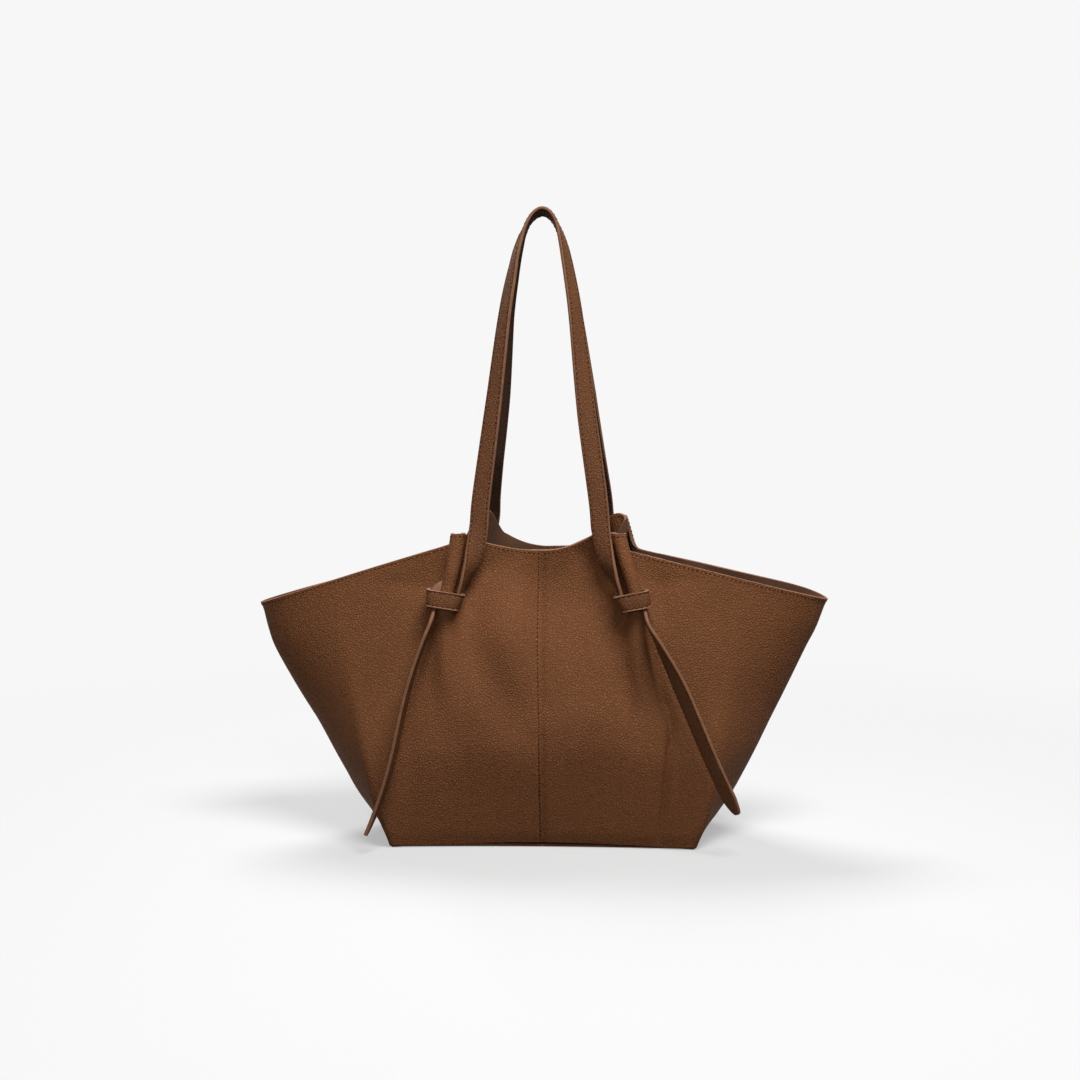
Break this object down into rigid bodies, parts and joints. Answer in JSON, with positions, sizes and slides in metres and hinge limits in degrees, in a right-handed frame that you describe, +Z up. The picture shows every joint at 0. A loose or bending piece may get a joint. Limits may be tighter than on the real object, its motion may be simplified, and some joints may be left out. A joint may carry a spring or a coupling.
{
  "type": "tote bag",
  "caption": "Soft leather shoulder tote with flared wing sides, a flat base, pinched pleats at the rim and strap handles knotted through them, ends hanging loose.",
  "frame": {"origin": "on the floor, under the middle of the bag", "axes": "+Z up, the front of the bag towards -Y, the wings along X"},
  "size_m": [0.513, 0.1758, 0.565],
  "materials": {
    "body_leather": "fine pebbled grain, soft sheen",
    "facing_leather": "smooth matte",
    "base_leather": "fine pebbled grain",
    "base_board": "matte",
    "strap_leather": "fine grain, painted edges",
    "strap_lining": "smooth matte"
  },
  "bodies": {
    "bag": {"left_body_panel": "body_leather", "right_body_panel": "body_leather", "left_rim_facing": "facing_leather", "right_rim_facing": "facing_leather", "base_panel": "base_leather", "base_board": "base_board", "front_left_knot_outer_ply": "strap_leather", "front_left_knot_lining_ply": "strap_lining", "front_right_knot_outer_ply": "strap_leather", "front_right_knot_lining_ply": "strap_lining", "rear_left_knot_outer_ply": "strap_leather", "rear_left_knot_lining_ply": "strap_lining", "rear_right_knot_outer_ply": "strap_leather", "rear_right_knot_lining_ply": "strap_lining"},
    "front_handle": {"front_handle_outer_ply": "strap_leather", "front_handle_lining_ply": "strap_lining"},
    "rear_handle": {"rear_handle_outer_ply": "strap_leather", "rear_handle_lining_ply": "strap_lining"},
    "front_left_tail": {"front_left_tail_outer_ply": "strap_leather", "front_left_tail_lining_ply": "strap_lining"},
    "front_right_tail": {"front_right_tail_outer_ply": "strap_leather", "front_right_tail_lining_ply": "strap_lining"},
    "rear_left_tail": {"rear_left_tail_outer_ply": "strap_leather", "rear_left_tail_lining_ply": "strap_lining"},
    "rear_right_tail": {"rear_right_tail_outer_ply": "strap_leather", "rear_right_tail_lining_ply": "strap_lining"}
  },
  "joints": [
    {"name": "front_handle_swing", "type": "hinge", "parent": "bag", "child": "front_handle", "pos_m": [0, -0.061, 0.242], "axis": [1, 0, 0], "range_deg": [0, 120]},
    {"name": "rear_handle_swing", "type": "hinge", "parent": "bag", "child": "rear_handle", "pos_m": [0, 0.061, 0.242], "axis": [-1, 0, 0], "range_deg": [0, 120]},
    {"name": "front_left_tail_sway", "type": "hinge", "parent": "bag", "child": "front_left_tail", "pos_m": [-0.094, -0.069, 0.2045], "axis": [0, 1, 0], "range_deg": [-20, 55]},
    {"name": "front_right_tail_sway", "type": "hinge", "parent": "bag", "child": "front_right_tail", "pos_m": [0.094, -0.069, 0.2045], "axis": [0, -1, 0], "range_deg": [-20, 55]},
    {"name": "rear_left_tail_sway", "type": "hinge", "parent": "bag", "child": "rear_left_tail", "pos_m": [-0.094, 0.069, 0.2045], "axis": [0, 1, 0], "range_deg": [-20, 55]},
    {"name": "rear_right_tail_sway", "type": "hinge", "parent": "bag", "child": "rear_right_tail", "pos_m": [0.094, 0.069, 0.2045], "axis": [0, -1, 0], "range_deg": [-20, 55]}
  ]
}
